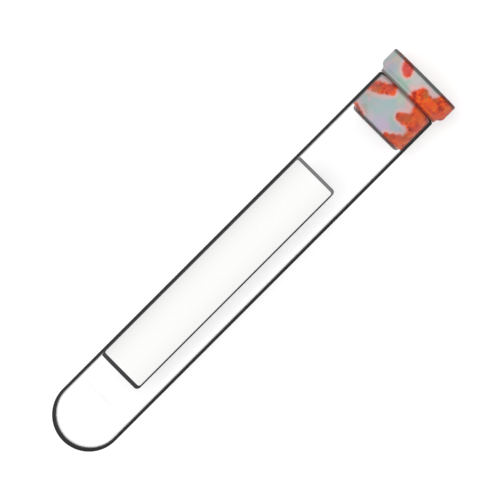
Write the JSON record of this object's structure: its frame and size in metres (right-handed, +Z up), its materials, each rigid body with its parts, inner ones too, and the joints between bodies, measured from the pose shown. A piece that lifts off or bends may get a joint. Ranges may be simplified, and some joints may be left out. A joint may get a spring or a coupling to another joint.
{
  "type": "blood collection tube",
  "caption": "Clear round-ended glass tube for drawing blood, closed by a red and grey marbled rubber stopper, with a blank strip label and separator gel.",
  "frame": {"origin": "on the surface that the tube lies on, below the middle of its bounding box", "axes": "+X along the tube towards the stopper, +Z up, with the tube's axis rising slightly towards the stopper"},
  "size_m": [0.111, 0.0182, 0.0183],
  "materials": {
    "glass": "clear and polished",
    "marbled_rubber": "satin rubber, orange-red and blue-grey mixed in soft blotches",
    "label_paper": "smooth matt paper, unprinted",
    "separator_gel": "soft, hazy and nearly clear"
  },
  "bodies": {
    "tube": {"tube": "glass", "label": "label_paper", "gel": "separator_gel"},
    "stopper": {"stopper": "marbled_rubber"}
  },
  "joints": [
    {"name": "stopper_pull", "type": "slide", "parent": "tube", "child": "stopper", "axis": [0.9999, 0, 0.0113], "range_m": [0, 0.03]}
  ]
}
